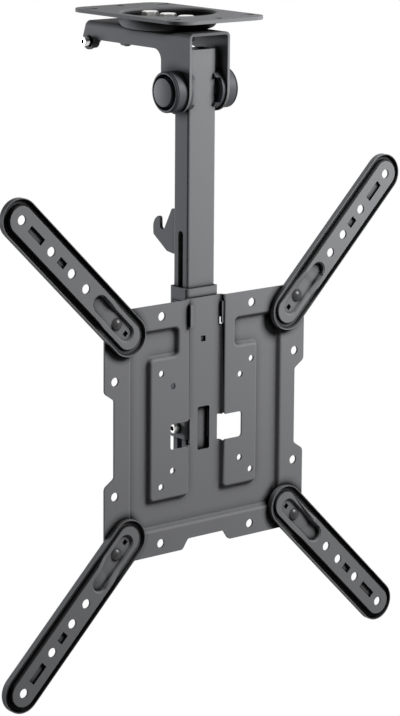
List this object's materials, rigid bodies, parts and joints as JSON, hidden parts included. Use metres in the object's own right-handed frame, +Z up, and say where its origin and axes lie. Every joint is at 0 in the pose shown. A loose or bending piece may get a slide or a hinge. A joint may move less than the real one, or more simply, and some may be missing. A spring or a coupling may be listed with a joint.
{
  "type": "tv ceiling mount",
  "caption": "Black steel ceiling mount for a television: swivel ceiling plate, folding drop tube with a height sleeve, and a screen plate with swinging arms.",
  "frame": {"origin": "centre of the ceiling plate's top face, on the swivel axis", "axes": "+X to the right as seen from the screen side, +Y to the rear, +Z up"},
  "size_m": [0.4356, 0.1729, 0.5703],
  "materials": {
    "black_coat": "fine matte powder coat",
    "zinc": "bright zinc plate",
    "black_zinc": "black oxide, satin",
    "black_plastic": "moulded, satin"
  },
  "bodies": {
    "ceiling": {"ceiling_plate": "black_coat"},
    "swivel_frame": {"top_channel": "black_coat", "swivel_pivot_bolt": "zinc", "swivel_lock_bolts": "zinc", "swivel_washers": "zinc", "swivel_nuts": "zinc", "fold_pivot_bolt": "zinc", "fold_pivot_nut": "zinc", "fold_pivot_washers": "zinc", "pivot_cup_left": "black_plastic", "pivot_cup_right": "black_plastic", "pivot_cover_left": "black_plastic", "pivot_cover_right": "black_plastic", "latch_weld_nuts": "black_coat"},
    "tube": {"drop_tube": "black_coat", "hook_bracket": "black_coat", "friction_bush_left": "black_plastic", "friction_bush_right": "black_plastic"},
    "carriage": {"sleeve": "black_coat", "hanger_bracket": "black_coat", "vesa_plate": "black_coat", "height_lock_bolt": "zinc", "height_lock_washers": "black_zinc", "height_lock_nut": "zinc", "arm_pivot_bolts": "black_zinc", "arm_pivot_nuts": "zinc"},
    "top_left_arm": {"arm_top_left": "black_coat"},
    "top_right_arm": {"arm_top_right": "black_coat"},
    "bottom_left_arm": {"arm_bottom_left": "black_coat"},
    "bottom_right_arm": {"arm_bottom_right": "black_coat"},
    "left_latch": {"latch_bolt_left": "zinc"},
    "right_latch": {"latch_bolt_right": "zinc"}
  },
  "joints": [
    {"name": "swivel", "type": "hinge", "parent": "ceiling", "child": "swivel_frame", "pos_m": [0, 0, -0.0133], "axis": [0, 0, 1], "range_deg": [-40, 40]},
    {"name": "fold", "type": "hinge", "parent": "swivel_frame", "child": "tube", "pos_m": [0, -0.0378, -0.0638], "axis": [1, 0, 0], "range_deg": [0, 90]},
    {"name": "height", "type": "slide", "parent": "tube", "child": "carriage", "axis": [0, 0, 1], "range_m": [-0.075, 0.025]},
    {"name": "latch_left", "type": "slide", "parent": "swivel_frame", "child": "left_latch", "axis": [1, 0, 0], "range_m": [0, 0.0046]},
    {"name": "latch_right", "type": "slide", "parent": "swivel_frame", "child": "right_latch", "axis": [-1, 0, 0], "range_m": [0, 0.0046]},
    {"name": "arm_top_left_swing", "type": "hinge", "parent": "carriage", "child": "top_left_arm", "pos_m": [-0.1, -0.0567, -0.2525], "axis": [0, 1, 0], "range_deg": [-45, 45]},
    {"name": "arm_top_right_swing", "type": "hinge", "parent": "carriage", "child": "top_right_arm", "pos_m": [0.1, -0.0567, -0.2525], "axis": [0, 1, 0], "range_deg": [-45, 45]},
    {"name": "arm_bottom_left_swing", "type": "hinge", "parent": "carriage", "child": "bottom_left_arm", "pos_m": [-0.1, -0.0567, -0.4525], "axis": [0, 1, 0], "range_deg": [-45, 45]},
    {"name": "arm_bottom_right_swing", "type": "hinge", "parent": "carriage", "child": "bottom_right_arm", "pos_m": [0.1, -0.0567, -0.4525], "axis": [0, 1, 0], "range_deg": [-45, 45]}
  ]
}
